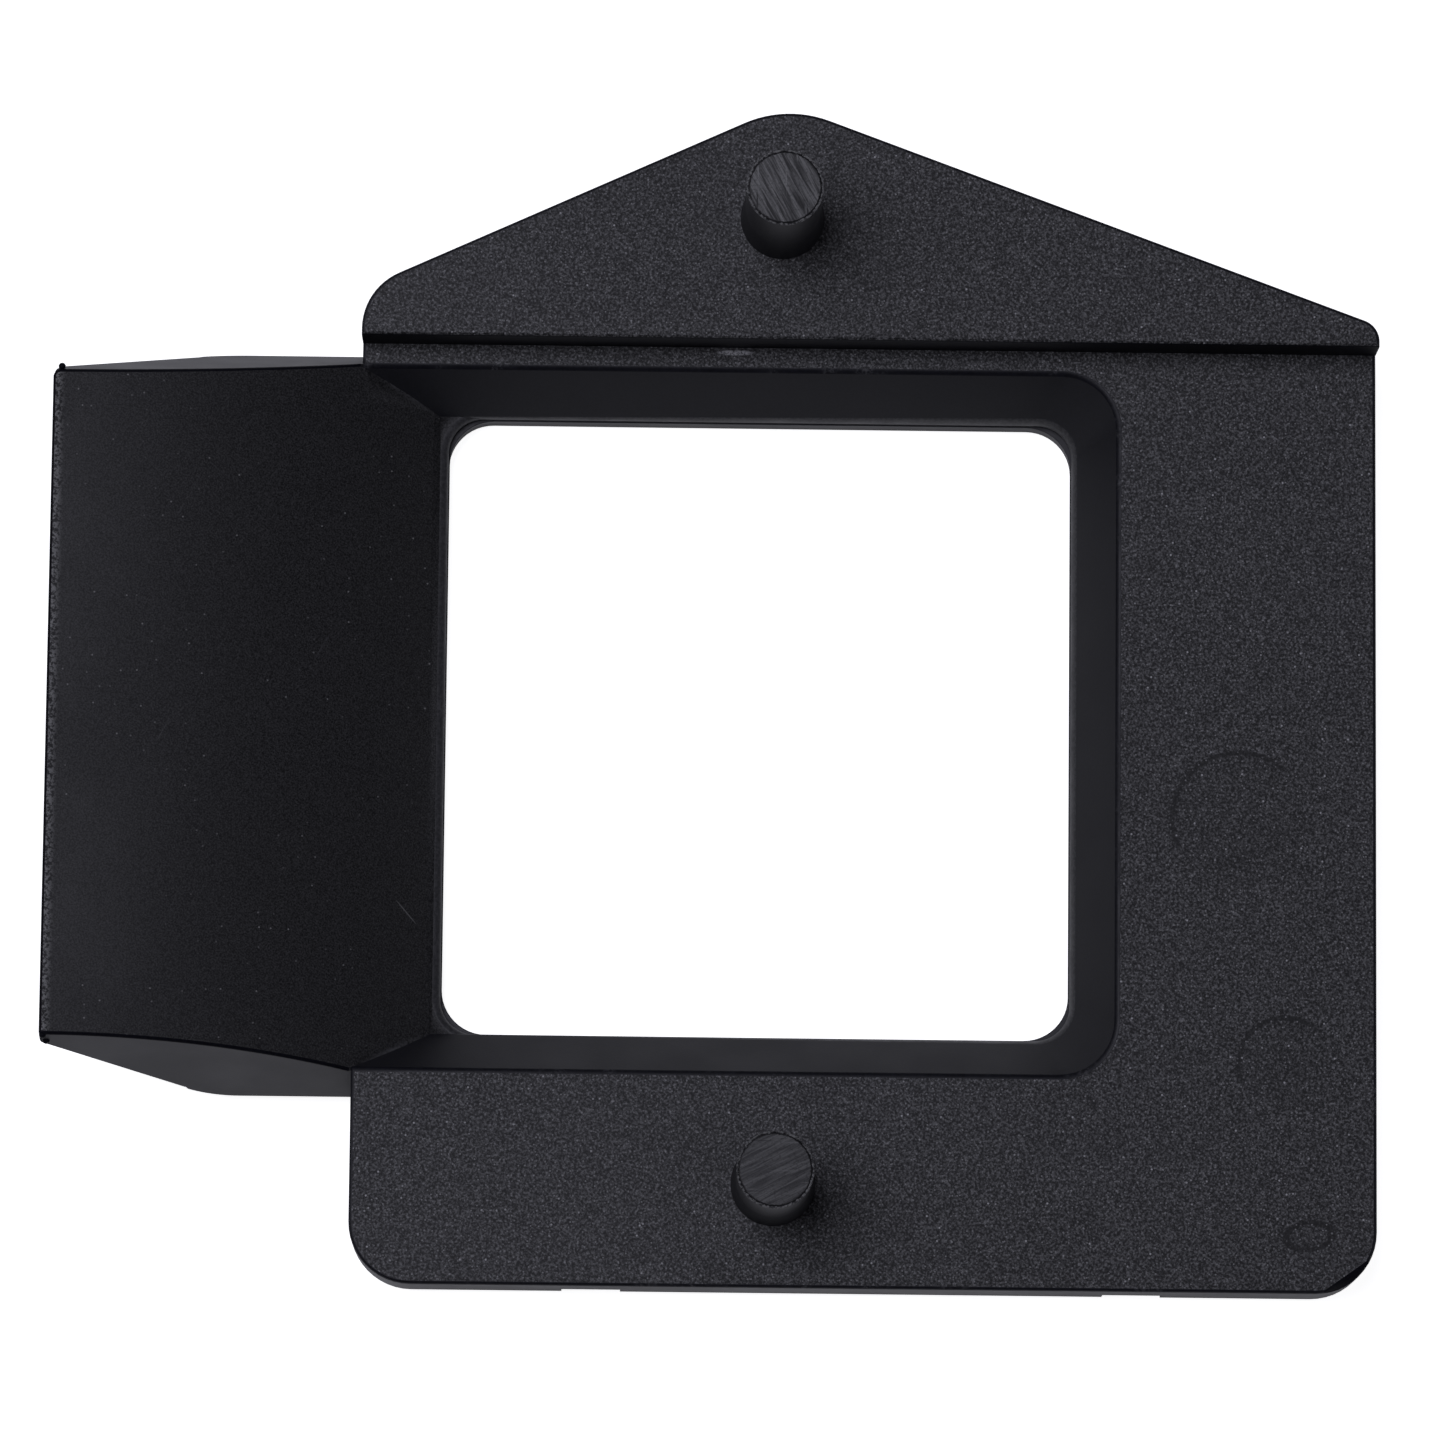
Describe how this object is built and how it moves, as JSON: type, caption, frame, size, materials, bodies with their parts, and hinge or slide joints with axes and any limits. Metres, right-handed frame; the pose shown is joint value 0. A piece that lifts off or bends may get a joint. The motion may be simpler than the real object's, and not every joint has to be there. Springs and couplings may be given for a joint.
{
  "type": "negative carrier",
  "caption": "Hinged glassless film carrier with a square gate, a curved film ramp, a raised triangular handle block and locating dowels.",
  "frame": {"origin": "the optical axis of the film gate, on the face of the cover half that the carrier rests on", "axes": "+X along the film, away from the film ramp; +Y across the film, towards the handle block; +Z out of the gate half, along its dowels"},
  "size_m": [0.1181, 0.1051, 0.0263],
  "materials": {
    "grained_plastic": "fine spark-eroded grain on the faces, smooth sloped walls",
    "smooth_plastic": "smooth sides, tips ground flat",
    "blackened_metal": "matt black",
    "steel": "turned, plain"
  },
  "bodies": {
    "cover_half": {"cover_plate": "grained_plastic", "format_mask": "blackened_metal", "film_guide_pins": "steel", "mask_screws": "steel"},
    "gate_half": {"gate_plate": "grained_plastic", "handle_block": "grained_plastic", "handle_dowel": "smooth_plastic", "rear_dowel": "smooth_plastic", "dowel_screws": "steel", "block_screws": "steel", "left_hinge_pin": "steel", "right_hinge_pin": "steel"}
  },
  "joints": [
    {"name": "carrier_hinge", "type": "hinge", "parent": "cover_half", "child": "gate_half", "pos_m": [0.00965, -0.0482, 0.0026], "axis": [1, 0, 0], "range_deg": [0, 90]}
  ]
}
